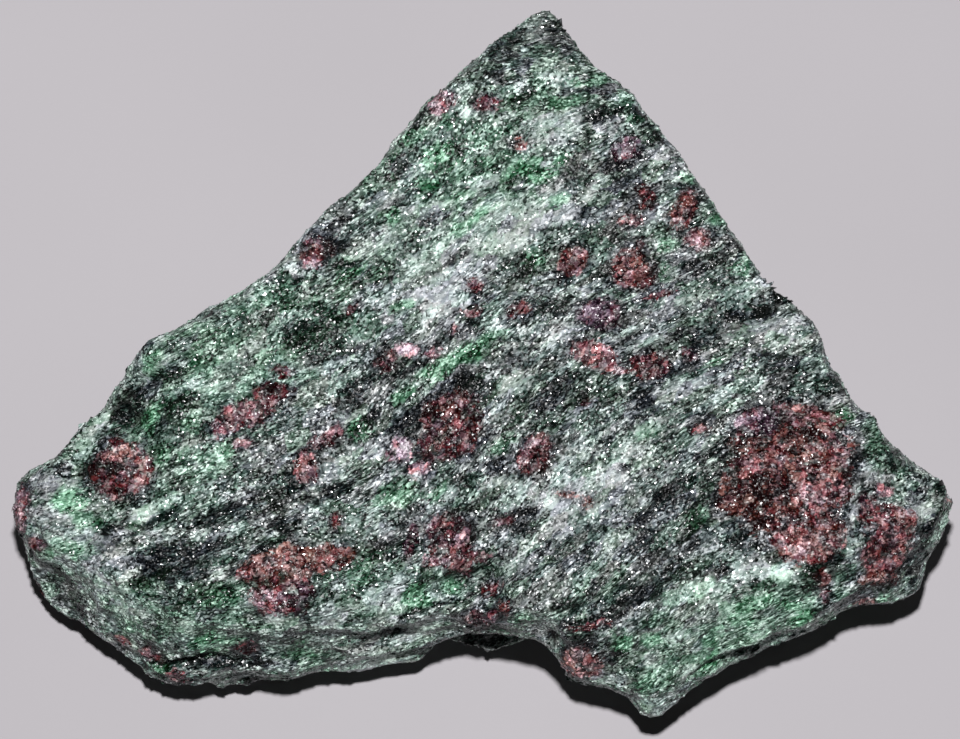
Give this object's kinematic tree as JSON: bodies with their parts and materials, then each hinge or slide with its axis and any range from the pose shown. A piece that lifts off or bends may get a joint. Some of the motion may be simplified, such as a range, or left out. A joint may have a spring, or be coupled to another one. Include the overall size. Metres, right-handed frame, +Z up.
{
  "type": "eclogite specimen",
  "caption": "Broken hand specimen of eclogite: a flat, roughly triangular slab of streaky green rock with red garnets, lying on its broad underside.",
  "frame": {"origin": "middle of the stone's box seen from above, on the surface that it rests on", "axes": "+X along the stone's longest extent, +Y towards the tip of the triangle, +Z up out of the broad face"},
  "size_m": [0.0784, 0.0596, 0.0159],
  "materials": {
    "rock": "rough broken crystalline rock: fine glinting green grains in streaks, with granular red garnets and pale bands"
  },
  "bodies": {
    "root": {"eclogite": "rock"}
  },
  "joints": []
}
